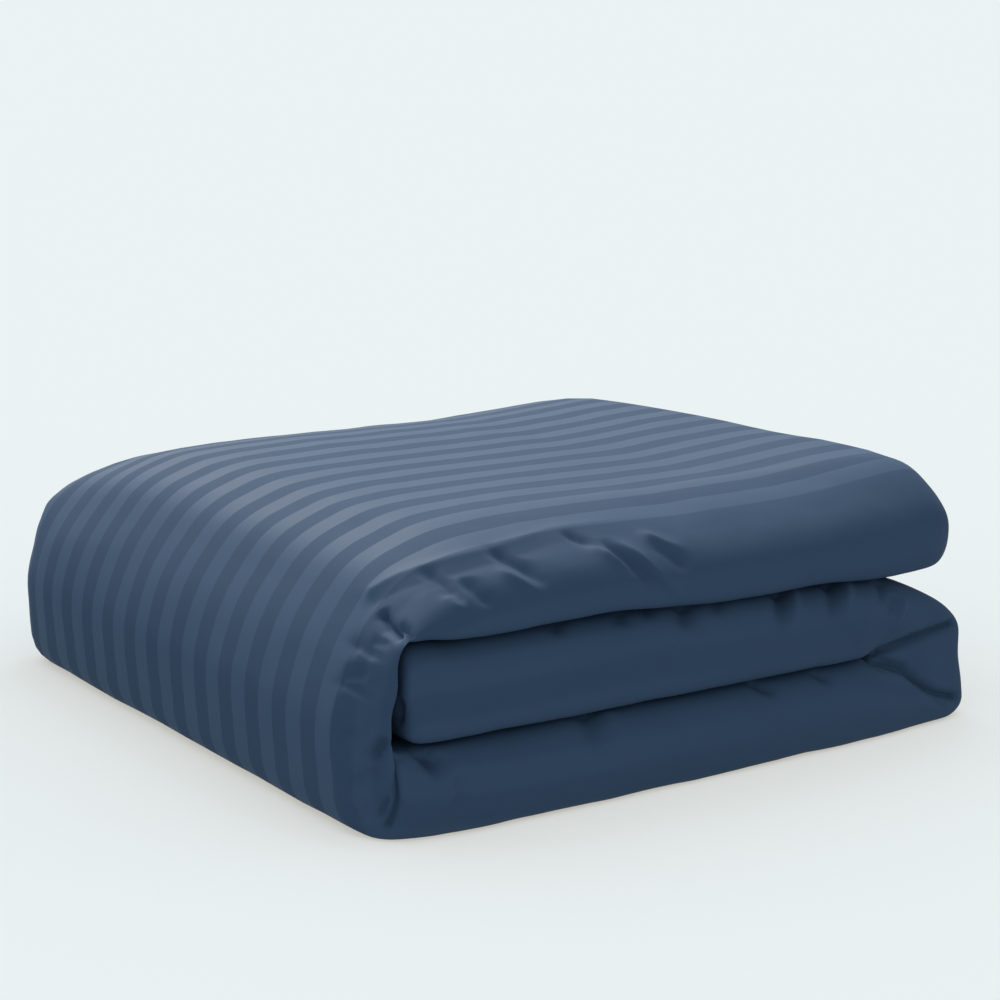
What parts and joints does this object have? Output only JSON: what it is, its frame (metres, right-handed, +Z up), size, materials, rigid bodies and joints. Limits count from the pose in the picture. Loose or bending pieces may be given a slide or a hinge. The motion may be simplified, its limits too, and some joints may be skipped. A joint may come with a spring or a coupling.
{
  "type": "folded filled duvet cover",
  "caption": "Filled duvet in a satin-striped cover, folded lengthwise and then like a letter, lying flat as a soft rounded stack.",
  "frame": {"origin": "centre of the stack's bounding box, on the surface that it rests on", "axes": "+Z up, +Y from the face that shows the three layers to the back, +X from the side that the fold wraps round to the side where its free end lies"},
  "size_m": [0.69, 0.7552, 0.2522],
  "materials": {
    "striped_cotton": "navy cotton with satin stripes 25 mm wide on a plain ground, soft sheen"
  },
  "bodies": {
    "root": {"duvet_cover": "striped_cotton"}
  },
  "joints": []
}
